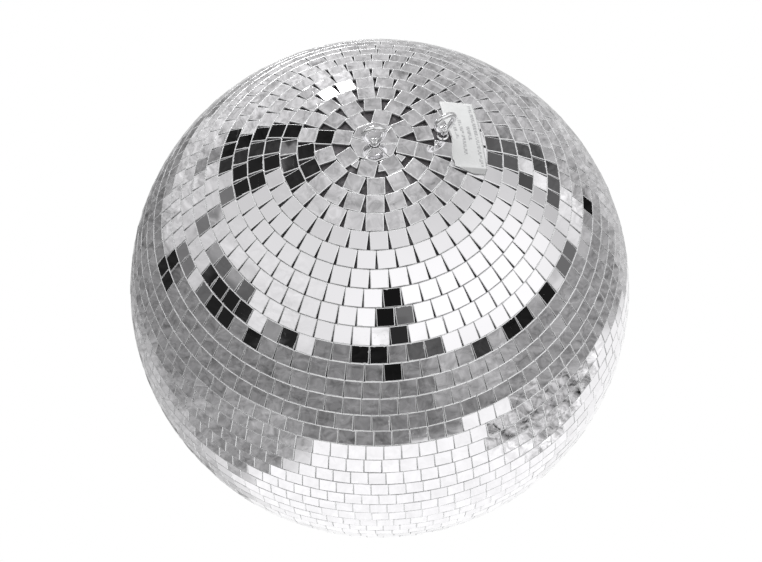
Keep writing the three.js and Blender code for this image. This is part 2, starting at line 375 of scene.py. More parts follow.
def core_plastic(finish):
    """Dull dark plastic with a moulding grain, and smears of glue."""
    material, tree, shader, position = new_material("core_plastic")
    clouds, scratches = handling(tree, position, 90.0, 500.0)
    grain = noise(tree, position, 1500.0, 2.0)
    glue = ramp(tree, noise(tree, position, 160.0, 3.0), 0.52, 0.66)
    worn = blend_colour(tree, clouds, finish.core, shaded(finish.core, 2.0))
    feed(tree, shader,
         Base_Color=blend_colour(tree, times(tree, glue, 0.5), worn, (0.30, 0.29, 0.30)),
         Roughness=blend_value(tree, glue, 0.68, 0.30))
    height = plus(tree, times(tree, grain, 0.4), plus(tree, glue, scratches))
    raise_surface(tree, shader, height, 0.5, 0.0003)
    return material


def bright_zinc(finish):
    """Plated steel wire: bright, a little cloudy, with drawing marks."""
    material, tree, shader, position = new_material("bright_zinc")
    clouds, scratches = handling(tree, position, 320.0, 1400.0)
    marks = plus(tree, clouds, scratches)
    feed(tree, shader,
         Base_Color=blend_colour(tree, clouds, finish.zinc, shaded(finish.zinc, 0.86)),
         Metallic=1.0,
         Roughness=plus(tree, 0.12, times(tree, marks, 0.05)))
    raise_surface(tree, shader, marks, 0.03, 0.0002)
    return material


def pressed_steel(finish):
    """Plain pressed sheet with rolling marks and a thin oil stain."""
    material, tree, shader, position = new_material("pressed_steel")
    clouds, scratches = handling(tree, position, 60.0, 900.0)
    stained = [part * shade for part, shade in zip(finish.steel, (0.80, 0.74, 0.66))]
    feed(tree, shader,
         Base_Color=blend_colour(tree, times(tree, clouds, 0.6), finish.steel, stained),
         Metallic=1.0,
         Roughness=blend_value(tree, clouds, 0.36, 0.52))
    raise_surface(tree, shader, scratches, 0.3, 0.0002)
    return material


# The label's bars: place across the label, then middle and half length along it, all as shares of its size.
BARS = ((0.23, 0.55, 0.10), (0.43, 0.50, 0.26), (0.64, 0.54, 0.10), (0.85, 0.53, 0.43))
BAR_HALF_WIDTH = 0.052
BAR_SIDE_BLUR = 0.012
BAR_END_BLUR = 0.006


def white_film(finish):
    """White film with broken grey bars where print would be, and its flap below the crease painted greyer as
    shade.
    """
    material, tree, shader, position = new_material("white_film")
    place = put(tree, "ShaderNodeSeparateXYZ", {0: put(tree, "ShaderNodeUVMap", uv_map="label").outputs[0]})
    across, along = place.outputs[0], place.outputs[1]
    printed = 0.0
    for middle_across, middle_along, half in BARS:
        beside = calc(tree, "ABSOLUTE", minus(tree, across, middle_across))
        beyond = calc(tree, "ABSOLUTE", minus(tree, along, middle_along))
        beside = ramp(tree, beside, BAR_HALF_WIDTH + BAR_SIDE_BLUR, BAR_HALF_WIDTH - BAR_SIDE_BLUR)
        beyond = ramp(tree, beyond, half + BAR_END_BLUR, half - BAR_END_BLUR)
        printed = calc(tree, "MAXIMUM", printed, times(tree, beside, beyond))
    word = put(tree, "ShaderNodeCombineXYZ", {
        0: times(tree, along, 30.0),
        1: times(tree, calc(tree, "FLOOR", times(tree, across, 4.8)), 7.3),
    })
    breaks = put(tree, "ShaderNodeTexVoronoi", {"Vector": word.outputs[0], "Scale": 1.0, "Randomness": 0.9},
                 feature="DISTANCE_TO_EDGE").outputs[0]
    printed = times(tree, printed, ramp(tree, breaks, 0.04, 0.12))
    clouds, scratches = handling(tree, position, 130.0, 800.0)
    paper = blend_colour(tree, times(tree, clouds, 0.5), finish.film, shaded(finish.film, 0.93))
    # The flap below the crease is painted darker: painted shade where the film folds under.
    flap = ramp(tree, along, LABEL_FLAP + 0.004, LABEL_FLAP - 0.004)
    paper = blend_colour(tree, flap, paper, shaded(finish.film, 0.74))
    feed(tree, shader,
         Base_Color=blend_colour(tree, times(tree, printed, 0.62), paper, finish.ink),
         Roughness=blend_value(tree, clouds, 0.42, 0.55))
    raise_surface(tree, shader, plus(tree, clouds, times(tree, scratches, 0.3)), 0.25, 0.0003)
    return material


def finish_of(scene, make):
    """A finish made once, and handed out again to the next piece that needs it."""
    return bpy.data.materials.get(make.__name__) or make(scene.mirror_ball_finish)


# ---------------------------------------------------------------- shapes


def object_from(bm, name, material, smooth=False):
    """Turns a bmesh into a piece with one material."""
    mesh = bpy.data.meshes.new(name)
    bm.to_mesh(mesh)
    bm.free()
    mesh.materials.append(material)
    mesh.polygons.foreach_set("use_smooth", [smooth] * len(mesh.polygons))
    piece = bpy.data.objects.new(name, mesh)
    bpy.context.scene.collection.objects.link(piece)
    return piece


def dress(piece, body, slot, *nodes):
    """Hangs a piece on what it rides on, and hides the frame nodes that it stands for."""
    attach(piece, body)
    if nodes:
        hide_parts(*nodes)
    return piece


def turned_shell(profile, sides):
    """A closed ring of revolution from a closed outline of (radius, height) points."""
    bm = bmesh.new()
    rings = []
    for step in range(sides):
        around = 2 * math.pi * step / sides
        ring = [bm.verts.new((r * math.cos(around), r * math.sin(around), z)) for r, z in profile]
        rings.append(ring)
    for step in range(sides):
        here, there = rings[step], rings[(step + 1) % sides]
        for index in range(len(profile)):
            after = (index + 1) % len(profile)
            bm.faces.new((here[index], there[index], there[after], here[after]))
    bmesh.ops.recalc_face_normals(bm, faces=bm.faces)
    return bm


def glass_prism(bm, outline, tiles, place, square=False):
    """Adds a flat piece of mirror glass, face up at height 0, with ground edges, and sides that are pale near
    the face and painted dark below it as shade in the gaps.

    A square tile gets a map across its face. Other pieces get the map's middle, which is clear of chips.
    """
    edge_layer = bm.faces.layers.float.get("glass_edge") or bm.faces.layers.float.new("glass_edge")
    face_map = bm.loops.layers.uv.get("tile") or bm.loops.layers.uv.new("tile")
    points = [Vector(point) for point in outline]
    count = len(points)
    levels = ((tiles.arris, 0), (0, -tiles.drop), (0, -tiles.rough_cut), (tiles.draught, -tiles.thickness))
    rings = []
    for inset, height in levels:
        ring = []
        for index, point in enumerate(points):
            before, after = points[index - 1], points[(index + 1) % count]
            inward = inset_direction(before, point, after)
            spot = point + inward * inset
            ring.append(bm.verts.new(place @ Vector((spot.x, spot.y, height))))
        rings.append(ring)
    faces = [bm.faces.new(rings[0]), bm.faces.new(list(reversed(rings[3])))]
    # The lowest band of a tile's sides gets mark 0.5, which the finish paints dark as shade in the gaps.
    for upper, lower, mark in zip(rings, rings[1:], (1.0, 1.0, 0.5)):
        for index in range(count):
            after = (index + 1) % count
            side = bm.faces.new((upper[index], lower[index], lower[after], upper[after]))
            side[edge_layer] = mark
            faces.append(side)
    for face in faces:
        for loop in face.loops:
            spot = loop.vert.co if square else Vector()
            loop[face_map].uv = (spot.x / tiles.size + 0.5, spot.y / tiles.width + 0.5)


def inset_direction(before, point, after):
    """The way in from a corner of an anticlockwise outline, so that both its sides move in by 1."""
    first = (point - before).normalized()
    second = (after - point).normalized()
    normals = Vector((-first.y, first.x)), Vector((-second.y, second.x))
    middle = (normals[0] + normals[1]).normalized()
    return middle / max(0.5, middle.dot(normals[0]))


def on_ball(colatitude, azimuth, turn=0.0, radius=BALL_RADIUS):
    """Places a piece that lies in the XY plane on the ball, face outwards."""
    spin = Matrix.Rotation(azimuth, 4, "Z") @ Matrix.Rotation(colatitude, 4, "Y")
    spin = spin @ Matrix.Rotation(turn, 4, "Z")
    return Matrix.Translation((0, 0, CENTRE_HEIGHT)) @ spin @ Matrix.Translation((0, 0, radius))


# ---------------------------------------------------------------- rows of tiles


def tile_mesh(tiles):
    """One square tile, face up at height 0, with a map across its face."""
    x, y, nip = tiles.size / 2, tiles.width / 2, tiles.corner
    bm = bmesh.new()
    outline = [(x, y - nip), (x - nip, y), (nip - x, y), (-x, y - nip),
               (-x, nip - y), (nip - x, -y), (x - nip, -y), (x, nip - y)]
    glass_prism(bm, outline, tiles, Matrix(), square=True)
    mesh = bpy.data.meshes.new("tile")
    bm.to_mesh(mesh)
    bm.free()
    return bpy.data.objects.new("tile", mesh)


def row_inputs(tree):
    """Names the sizes that a row of tiles is made from."""
    add_socket(tree, "Geometry", "NodeSocketGeometry")
    sizes = "Ball Radius", "Centre Height", "Colatitude", "Phase", "Gap", "Tilt", "Twist", "Slip", "Sink"
    for name in sizes:
        add_socket(tree, name, "NodeSocketFloat", 0.0)
    for name in ("Tile Count", "Seed"):
        add_socket(tree, name, "NodeSocketInt", 0)
    add_socket(tree, "Tile", "NodeSocketObject")
    add_socket(tree, "Material", "NodeSocketMaterial")
    add_socket(tree, "Geometry", "NodeSocketGeometry", way="OUTPUT")


def scatter(tree, seed, shift):
    """A random number from -1 to 1 for each tile, most of them small."""
    own_seed = plus(tree, seed, shift)
    node = put(tree, "FunctionNodeRandomValue", {2: -1.0, 3: 1.0, "Seed": own_seed}, data_type="FLOAT")
    value = node.outputs[1]
    return times(tree, value, calc(tree, "ABSOLUTE", value))


def row_of_tiles():
    """A ring of tiles at one colatitude, each a little out of true."""
    tree = bpy.data.node_groups.new("Row of tiles", "GeometryNodeTree")
    row_inputs(tree)
    given = put(tree, "NodeGroupInput").outputs
    seed = given["Seed"]
    index = put(tree, "GeometryNodeInputIndex").outputs[0]
    step = calc(tree, "DIVIDE", minus(tree, 2 * math.pi, given["Gap"]), given["Tile Count"])
    slip = times(tree, scatter(tree, seed, 1), given["Slip"])
    start = plus(tree, given["Phase"], times(tree, given["Gap"], 0.5))
    along = times(tree, plus(tree, index, 0.5), step)
    around = plus(tree, start, plus(tree, slip, along))
    reach = plus(tree, given["Ball Radius"], times(tree, scatter(tree, seed, 2), given["Sink"]))
    out = times(tree, reach, calc(tree, "SINE", given["Colatitude"]))
    up = times(tree, reach, calc(tree, "COSINE", given["Colatitude"]))
    spot = put(tree, "ShaderNodeCombineXYZ", {
        0: times(tree, out, calc(tree, "COSINE", around)),
        1: times(tree, out, calc(tree, "SINE", around)),
        2: plus(tree, up, given["Centre Height"]),
    }).outputs[0]
    points = put(tree, "GeometryNodePoints", {"Count": given["Tile Count"], "Position": spot}).outputs[0]

    lean = put(tree, "ShaderNodeCombineXYZ", {
        0: times(tree, scatter(tree, seed, 3), given["Tilt"]),
        1: times(tree, scatter(tree, seed, 4), given["Tilt"]),
        2: times(tree, scatter(tree, seed, 5), given["Twist"]),
    }).outputs[0]
    facing = put(tree, "FunctionNodeEulerToRotation", {0: lean}).outputs[0]
    for axis, turn in ((1, given["Colatitude"]), (2, around)):
        euler = put(tree, "ShaderNodeCombineXYZ", {axis: turn}).outputs[0]
        by = put(tree, "FunctionNodeEulerToRotation", {0: euler}).outputs[0]
        turned = put(tree, "FunctionNodeRotateRotation", {0: facing, 1: by}, rotation_space="GLOBAL")
        facing = turned.outputs[0]

    tile = put(tree, "GeometryNodeObjectInfo", {"Object": given["Tile"], "As Instance": True})
    placed = put(tree, "GeometryNodeInstanceOnPoints", {
        "Points": points, "Instance": tile.outputs["Geometry"], "Rotation": facing,
    }).outputs[0]
    tone = put(tree, "FunctionNodeRandomValue", {2: 0.0, 3: 1.0, "Seed": seed}, data_type="FLOAT").outputs[1]
    marked = {"Geometry": placed, "Name": "tile_tone", "Value": tone}
    toned = put(tree, "GeometryNodeStoreNamedAttribute", marked, domain="INSTANCE", data_type="FLOAT")
    real = put(tree, "GeometryNodeRealizeInstances", {"Geometry": toned.outputs[0]}).outputs[0]
    silvered = {"Geometry": real, "Material": given["Material"]}
    glazed = put(tree, "GeometryNodeSetMaterial", silvered).outputs[0]
    end = put(tree, "NodeGroupOutput")
    tree.links.new(glazed, end.inputs["Geometry"])
    return tree


def evaluated_piece(name, tree, values):
    """Runs a node tree on an empty mesh and keeps the result as a plain mesh."""
    carrier = bpy.data.objects.new(name + "_carrier", bpy.data.meshes.new(name))
    bpy.context.scene.collection.objects.link(carrier)
    modifier = carrier.modifiers.new("Tree", "NODES")
    modifier.node_group = tree
    for item in tree.interface.items_tree:
        if item.in_out == "INPUT" and item.name in values:
            modifier[item.identifier] = values[item.name]
    carrier.update_tag()
    bpy.context.view_layer.update()
    graph = bpy.context.evaluated_depsgraph_get()
    ready = carrier.evaluated_get(graph)
    mesh = bpy.data.meshes.new_from_object(ready, preserve_all_data_layers=True, depsgraph=graph)
    mesh.name = name
    bpy.data.objects.remove(carrier)
    piece = bpy.data.objects.new(name, mesh)
    bpy.context.scene.collection.objects.link(piece)
    if not mesh.polygons:
        raise RuntimeError(name + " came out empty")
    return piece


def tiles_in_row(tiles, colatitude, gap):
    """How many tiles fit round a row, the gap as an angle, and how far each tile may slip."""
    near = BALL_RADIUS * math.sin(colatitude) - tiles.size / 2 * abs(math.cos(colatitude))
    taken = 2 * math.atan((tiles.width + tiles.joint) / 2 / near)
    open_angle = gap / near
    count = int((2 * math.pi - open_angle) / taken)
    spare = (2 * math.pi - open_angle) / count - taken
    return count, open_angle, spare / 2 + tiles.joint / 4 / near


# Where the first tile of each row round the top pole starts, in degrees from +X. The third row starts at the
# safety eye, and the rows that aren't given here start at random.
TOP_ROW_STARTS = {
    1: 9, 2: 0, 4: 8.3, 5: 3.3, 6: 1.3, 7: 2, 8: 2.7, 9: 4.8, 10: 5.5, 11: 3.1, 12: 1.5, 13: 4.1,
}


def skew_of(tiles, row):
    """The rows nearest the top pole are laid a little off centre. This dies away from row to row."""
    share = max(0.0, 1 - row / tiles.skewed_rows)
    middle = Matrix.Translation((0, 0, CENTRE_HEIGHT))
    return middle @ Matrix.Rotation(-tiles.skew * share, 4, "X") @ middle.inverted()


def row_phase(tiles, eyes, row, at_eye, phases):
    """Where a row starts. Every row draws a random start, and the rows at the top are listed."""
    drawn = phases.uniform(0, 2 * math.pi)
    if at_eye:
        return eyes.safety_azimuth
    return math.radians(TOP_ROW_STARTS[row]) if row in TOP_ROW_STARTS else drawn


class MIRRORBALL_OT_tile_rows(bpy.types.Operator):
    """Lays every row of square tiles."""

    bl_idname = "mirror_ball.tile_rows"
    bl_label = "Tile rows"

    def execute(self, context):
        scene = context.scene
        tiles, eyes = scene.mirror_ball_tiles, scene.mirror_ball_eyes
        tree, tile = row_of_tiles(), tile_mesh(tiles)
        row_angle = (math.pi - 2 * tiles.pole_angle) / len(ROW_NODES)
        safety_row = int((eyes.safety_colatitude - tiles.pole_angle) / row_angle)
        phases = random.Random(tiles.seed)
        for index, node in enumerate(ROW_NODES):
            colatitude = tiles.pole_angle + row_angle * (index + 0.5)
            at_eye = index == safety_row
            count, gap, slip = tiles_in_row(tiles, colatitude, tiles.gap if at_eye else 0.0)
            piece = evaluated_piece("tiles_" + node[-2:], tree, {
                "Ball Radius": BALL_RADIUS, "Centre Height": CENTRE_HEIGHT, "Colatitude": colatitude,
                "Phase": row_phase(tiles, eyes, index + 1, at_eye, phases), "Gap": gap, "Tilt": tiles.tilt,
                "Twist": tiles.twist, "Slip": slip, "Sink": tiles.sink, "Tile Count": count,
                "Seed": tiles.seed * 100 + index, "Tile": tile, "Material": finish_of(scene, silvered_glass),
            })
            piece.data.transform(skew_of(tiles, index))
            dress(piece, "ball", "mirror_glass", node)
        bpy.data.objects.remove(tile)
        return {"FINISHED"}


# ---------------------------------------------------------------- cut pieces at the poles


# Where slivers of mirror fill the wedges of the first row, in degrees from +X, and their outline in
# millimetres, with x away from the pole.
SLIVERS = (-127, -80, -37)
SLIVER_RADIUS = 16.4 * MM  # from the pole to a sliver's middle
SLIVER_OUTLINE = ((-1.9, -0.6), (2.6, -2.0), (2.6, 2.0), (-1.9, 0.6))


class MIRRORBALL_OT_pole_pieces(bpy.types.Operator):
    """Cuts the mirror pieces that close the ball at its two poles, and the slivers beside them."""

    bl_idname = "mirror_ball.pole_pieces"
    bl_label = "Pole pieces"

    def execute(self, context):
        tiles = context.scene.mirror_ball_tiles
        glass = finish_of(context.scene, silvered_glass)
        chance = random.Random(tiles.seed)
        for node in TOP_PIECES:
            bm = bmesh.new()
            outline = self.shaped(tiles, ordered_outline(node))
            middle = sum((Vector(point) for point in outline), Vector((0, 0))) / len(outline)
            leans = [math.radians(chance.uniform(-1.6, 1.6)) for _ in range(2)]
            lean = Euler(leans + [0]).to_matrix().to_4x4()
            home = Matrix.Translation((middle.x, middle.y, CENTRE_HEIGHT + BALL_RADIUS)) @ lean
            glass_prism(bm, [(x - middle.x, y - middle.y) for x, y in outline], tiles, home)
            dress(object_from(bm, node.replace("mirror", "glass"), glass), "ball", "mirror_glass", node)
        bm = bmesh.new()
        low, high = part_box("bottom_mirror")
        reach = (high.x - low.x) / 2 / math.cos(math.pi / 8)
        corners = [math.pi * (2 * k + 1) / 8 for k in range(8)]
        outline = [(reach * math.cos(around), reach * math.sin(around)) for around in corners]
        home = Matrix.Translation((0, 0, low.z)) @ Matrix.Rotation(math.pi, 4, "X")
        glass_prism(bm, outline, tiles, home)
        dress(object_from(bm, "bottom_glass", glass), "ball", "mirror_glass", "bottom_mirror")
        for number, azimuth in enumerate(SLIVERS, 1):
            bm = bmesh.new()
            place = skew_of(tiles, 0) @ on_ball(math.asin(SLIVER_RADIUS / BALL_RADIUS), math.radians(azimuth))
            glass_prism(bm, [(x * MM, y * MM) for x, y in SLIVER_OUTLINE], tiles, place)
            dress(object_from(bm, f"sliver_{number}", glass), "ball", "mirror_glass")
        return {"FINISHED"}

    @staticmethod
    def shaped(tiles, outline):
        """Moves the octagon's outside out to the first row, and rounds its bore close to the shank."""
        shift = BALL_RADIUS * math.sin(tiles.skew)
        bore, inside, widened = 2.95 * MM, 6 * MM, 1.085
        points = []
        for here, there in zip(outline, outline[1:] + outline[:1]):
            (x, y), reach = here, math.hypot(*here)
            if reach > inside:
                points.append((x * widened, y * widened + shift))
                continue
            steps = 5 if math.hypot(*there) < inside else 1
            first = math.atan2(y, x)
            turn = math.remainder(math.atan2(there[1], there[0]) - first, 2 * math.pi)
            for step in range(steps):
                around = first + turn * step / steps
                points.append((bore * math.cos(around), bore * math.sin(around)))
        return points


def ordered_outline(node):
    """Walks round the upper face of a flat horizontal frame node, anticlockwise."""
    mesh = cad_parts[node].data
    top = max(v.co.z for v in mesh.vertices)
    links = set()
    for polygon in mesh.polygons:
        keys = [tuple(round(c, 7) for c in mesh.vertices[i].co) for i in polygon.vertices]
        if all(abs(key[2] - top) < 1e-5 for key in keys):
            links.update(zip(keys, keys[1:] + keys[:1]))
    border = {here: there for here, there in links if (there, here) not in links}
    start = min(border)
    walk, spot = [start], border[start]
    while spot != start:
        walk.append(spot)
        spot = border[spot]
    return [(x, y) for x, y, _ in walk]


# ---------------------------------------------------------------- core


GLUE = 0.4 * MM
CORE_WALL = 2.2 * MM


def tiles_and_glue(scene):
    """How far the core lies under the mirrors."""
    return scene.mirror_ball_tiles.thickness + GLUE


class MIRRORBALL_OT_core(bpy.types.Operator):
    """Moulds the two round halves of the core."""

    bl_idname = "mirror_ball.core"
    bl_label = "Core"

    def execute(self, context):
        plastic = finish_of(context.scene, core_plastic)
        shank = context.scene.mirror_ball_eyes.shank
        bore = math.asin((shank + 0.8 * MM) / BALL_RADIUS)
        pinhole = 0.012
        outer = BALL_RADIUS - tiles_and_glue(context.scene)
        inner = outer - CORE_WALL
        seam, steps = 0.15 * MM, 48
        for node, side, start in (("upper_core", 1, bore), ("lower_core", -1, pinhole)):
            spread = [start + (math.pi / 2 - start) * step / steps for step in range(steps + 1)]
            wall = [(outer * math.sin(a), max(outer * math.cos(a), seam)) for a in spread]
            wall += [(inner * math.sin(a), max(inner * math.cos(a), seam)) for a in reversed(spread)]
            profile = [(r, CENTRE_HEIGHT + side * z) for r, z in wall]
            piece = object_from(turned_shell(profile, 128), node + "_shell", plastic, smooth=True)
            dress(piece, "ball", "core", node)
        return {"FINISHED"}


# ---------------------------------------------------------------- eyes


LOOP_OPENING = 0.45  # half the angle of the loop that its shank takes up, in radians


def pear_loop(eyes, steps):
    """Points along the middle of the loop's wire, from one end at the shank to the other."""
    points = []
    for step in range(steps + 1):
        a = LOOP_OPENING + 2 * (math.pi - LOOP_OPENING) * step / steps
        across = eyes.half_width * math.sin(a) * (1 - eyes.pear * math.cos(a))
        points.append(Vector((across, 0, eyes.half_height * (1 - math.cos(a)))))
    shared = Vector((0, 0, -0.6 * eyes.wire))
    return [shared] + points + [shared]


def swept_wire(bm, points, radius, sides=20):
    """Adds a closed round bar along points that lie in the XZ plane."""
    rings = []
    last = len(points) - 1
    for index, point in enumerate(points):
        along = (points[min(index + 1, last)] - points[max(index - 1, 0)]).normalized()
        side = Vector((0, 1, 0))
        up = side.cross(along)
        rings.append([
            bm.verts.new(point + radius * (math.cos(t) * side + math.sin(t) * up))
            for t in (2 * math.pi * k / sides for k in range(sides))
        ])
    for here, there in zip(rings, rings[1:]):
        for k in range(sides):
            bm.faces.new((here[k], there[k], there[(k + 1) % sides], here[(k + 1) % sides]))
    bm.faces.new(rings[0])
    bm.faces.new(list(reversed(rings[-1])))


def turned_bar(bm, profile, sides=40):
    """Adds a solid bar of revolution from (radius, height) points, top to bottom."""
    rings = [[bm.verts.new((r * math.cos(t), r * math.sin(t), z))
              for t in (2 * math.pi * k / sides for k in range(sides))] for r, z in profile]
    for here, there in zip(rings, rings[1:]):
        for k in range(sides):
            bm.faces.new((here[k], there[k], there[(k + 1) % sides], here[(k + 1) % sides]))
    bm.faces.new(list(reversed(rings[0])))
    bm.faces.new(rings[-1])


def forged_eye(name, eyes, bottom, collar_height, place, material):
    """A wire loop run into its threaded shank, blended into one skin, at place."""
    bm = bmesh.new()
    swept_wire(bm, pear_loop(eyes, 72), eyes.wire)
    neck = [(1.6 * MM, 1.4 * MM), (2.5 * MM, 0.3 * MM), (2.65 * MM, -0.9 * MM), (eyes.shank, -2.6 * MM)]
    if collar_height is not None:
        top = collar_height + 1.6 * MM
        neck += [(eyes.shank, top), (eyes.collar * 0.86, top - 0.2 * MM), (eyes.collar, top - 0.7 * MM),
                 (eyes.collar, collar_height), (eyes.shank, collar_height - 0.1 * MM)]
    pitch, crest = 0.8 * MM, 0.28 * MM
    height = neck[-1][1] - 1.5 * MM
    while height - pitch > bottom + pitch:
        neck += [(eyes.shank, height), (eyes.shank - crest, height - pitch / 2)]
        height -= pitch
    neck += [(eyes.shank - crest, bottom + 0.4 * MM), (eyes.shank - 2 * crest, bottom)]
    turned_bar(bm, neck)
    bmesh.ops.recalc_face_normals(bm, faces=bm.faces)
    piece = object_from(bm, name, material, smooth=True)
    skin = piece.modifiers.new("Skin", "REMESH")
    skin.mode, skin.voxel_size, skin.use_smooth_shade = "VOXEL", 0.22 * MM, True
    soften = piece.modifiers.new("Soften", "SMOOTH")
    soften.factor, soften.iterations = 0.5, 5
    bpy.context.view_layer.update()
    graph = bpy.context.evaluated_depsgraph_get()
    mesh = bpy.data.meshes.new_from_object(piece.evaluated_get(graph), depsgraph=graph)
    bpy.data.objects.remove(piece)
    mesh.transform(place)
    mesh.name = name
    if not mesh.materials:
        mesh.materials.append(material)
    mesh.polygons.foreach_set("use_smooth", [True] * len(mesh.polygons))
    piece = bpy.data.objects.new(name, mesh)
    bpy.context.scene.collection.objects.link(piece)
    return piece


class MIRRORBALL_OT_eyes(bpy.types.Operator):
    """Forges the hanging eye and the safety eye."""

    bl_idname = "mirror_ball.eyes"
    bl_label = "Eyes"

    def execute(self, context):
        eyes = context.scene.mirror_ball_eyes
        zinc = finish_of(context.scene, bright_zinc)
        foot = CENTRE_HEIGHT + BALL_RADIUS + eyes.lift + eyes.wire
        place = Matrix.Translation((0, 0, foot)) @ Matrix.Rotation(eyes.turn, 4, "Z")
        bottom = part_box("hanging_eye")[0].z - foot
        piece = forged_eye("hanging_eye_bolt", eyes, bottom, None, place, zinc)
        dress(piece, "eye", "eye_steel", "hanging_eye")

        core = BALL_RADIUS - tiles_and_glue(context.scene)
        stand = Matrix.Translation((0, 0, CENTRE_HEIGHT)) @ Matrix.Rotation(eyes.safety_azimuth, 4, "Z")
        stand = stand @ Matrix.Rotation(eyes.safety_colatitude, 4, "Y") @ Matrix.Translation((0, 0, core))
        stand = stand @ Matrix.Rotation(eyes.safety_lean - eyes.safety_colatitude, 4, "Y")
        place = stand @ Matrix.Translation((0, 0, eyes.safety_foot))
        place = place @ Matrix.Rotation(eyes.safety_turn, 4, "Z")
        collar = 1.3 * MM - eyes.safety_foot
        piece = forged_eye("safety_eye_bolt", eyes, collar - 13.8 * MM, collar, place, zinc)
        dress(piece, "ball", "eye_steel", "safety_eye")
        return {"FINISHED"}


class MIRRORBALL_OT_inner_hardware(bpy.types.Operator):
    """Finishes the plate, nuts and washer inside the top, which keep their frame shapes."""

    bl_idname = "mirror_ball.inner_hardware"
    bl_label = "Inner hardware"

    def execute(self, context):
        for node in ("hanging_eye_washer", "hanging_eye_nut", "safety_eye_nut"):
            paint(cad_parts[node], finish_of(context.scene, bright_zinc))
        paint(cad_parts["backing_plate"], finish_of(context.scene, pressed_steel))
        return {"FINISHED"}


def paint(node, material):
    """Gives a frame node's own object a material."""
    for slot in node.material_slots:
        slot.material = material


# ---------------------------------------------------------------- label


class MIRRORBALL_OT_label(bpy.types.Operator):
    """Sticks the warning label over the tiles beside the safety eye."""

    bl_idname = "mirror_ball.label"
    bl_label = "Label"

    def execute(self, context):
        label = context.scene.mirror_ball_label
        film = finish_of(context.scene, white_film)
        turn = on_ball(label.colatitude, label.azimuth, label.turn, 0)
        columns, rows = 18, 44
        bm = bmesh.new()
        sheets = []
        for side in (0.0, label.thickness):
            grid = []
            for row in range(rows + 1):
                along = row / rows
                line = []
                for column in range(columns + 1):
                    across = column / columns
                    x = (self.cut(across, along) - 0.5) * label.width + self.waist(across, along)
                    y = (along - 0.5 - LABEL_FLAP * 0.42) * label.height
                    height = BALL_RADIUS + self.lift(across, along) + side
                    spot = Vector((x, y, BALL_RADIUS)).normalized() * height
                    line.append(bm.verts.new(turn @ spot))
                grid.append(line)
            sheets.append(grid)
        film_map = bm.loops.layers.uv.new("label")
        under, over = sheets

        def face(corners, spots):
            made = bm.faces.new(corners)
            for loop, spot in zip(made.loops, spots):
                loop[film_map].uv = spot

        for r in range(rows):
            for c in range(columns):
                ring = [(r, c), (r, c + 1), (r + 1, c + 1), (r + 1, c)]
                spots = [(j / columns, i / rows) for i, j in ring]
                face([over[i][j] for i, j in ring], spots)
                face([under[i][j] for i, j in reversed(ring)], list(reversed(spots)))
        rim = [(0, c) for c in range(columns)] + [(r, columns) for r in range(rows)]
        rim += [(rows, c) for c in range(columns, 0, -1)] + [(r, 0) for r in range(rows, 0, -1)]
        for here, there in zip(rim, rim[1:] + rim[:1]):
            corners = [under[here[0]][here[1]], under[there[0]][there[1]],
                       over[there[0]][there[1]], over[here[0]][here[1]]]
            face(corners, [(0, 0)] * 4)
        piece = object_from(bm, "label_film", film, smooth=True)
        dress(piece, "ball", "label_film", "warning_label")
        return {"FINISHED"}

    @staticmethod
    def waist(across, along):
        """The film's inner edge is pushed in by the safety eye and torn at its foot."""
        at_eye = 2.2 * MM * math.exp(-((along - 0.47) / 0.14) ** 2)
        torn = 1.2 * MM * math.exp(-((along - 0.13) / 0.04) ** 2)
        return (at_eye + torn) * (1 - across) ** 3

    @staticmethod
    def cut(across, along):
        """The flap below the crease is cut to a blunt point."""
        below = max(0.0, LABEL_FLAP - along) / LABEL_FLAP
        left, right = 0.10 + 0.50 * below, 1.0 - 0.10 * below
        return left + (right - left) * across if below else across

    @staticmethod
    def lift(across, along):
        """How far the film stands off the tiles: a sharp crease above the flap and a little buckling."""
        crease = math.exp(-abs(along - LABEL_FLAP) / 0.022)
        buckle = 0.06 * MM * math.sin(across * 7.0 + along * 19.0)
        return 0.32 * MM + buckle + 0.75 * MM * crease


# ---------------------------------------------------------------- studio


def tone(level):
    """The light that shows as this level of grey, from 0 to 1."""
    return ((level + 0.055) / 1.055) ** 2.4 if level > 0.04 else level / 12.92


# What the mirrors see of the studio. A panel has the azimuth and height of its middle, half its
# width and height and the softness of its edges, all in degrees, and its grey level. Azimuth 0 is the side
# that the ball is seen from. Later ones lie on top of earlier ones.
STUDIO_WALLS = (
    ("wall_left", -60, 30, 95, 30, 24, 0.80),
    ("wall_back", -162, 30, 20, 30, 12, 0.79),
    ("lamp_glow_back", -167, 38, 6, 14, 4, 0.90),
    ("wall_front", 5, 20, 85, 25, 22, 0.89),
    ("soft_box", 38, 17, 50, 22, 20, 1.02),
    ("reflector_right", 112, 53, 20, 8, 3, 0.91),
)
STUDIO_GROUND = (
    ("carpet_right", 105, -12, 45, 20, 4, 0.575),
    ("carpet_back", 166, -13, 30, 14, 6, 0.74),
    ("carpet_front", 40, -12, 18, 13, 6, 0.67),
    ("carpet_left_low", -92, -43, 32, 14.5, 1.5, 0.59),
    ("carpet_left_front", -54, -40, 12, 12, 2, 0.62),
    ("paper_left", -142, -38, 18, 13, 6, 0.73),
    ("paper_edge", -176, -36, 10, 14, 4, 0.93),
    ("table_right", 146, -36, 42, 11, 1.2, 0.95),
    ("table_front", 48, -41, 14, 7, 1.2, 0.97),
    ("creased_cloth", 86, -41, 26, 11, 5, 0.68),
)
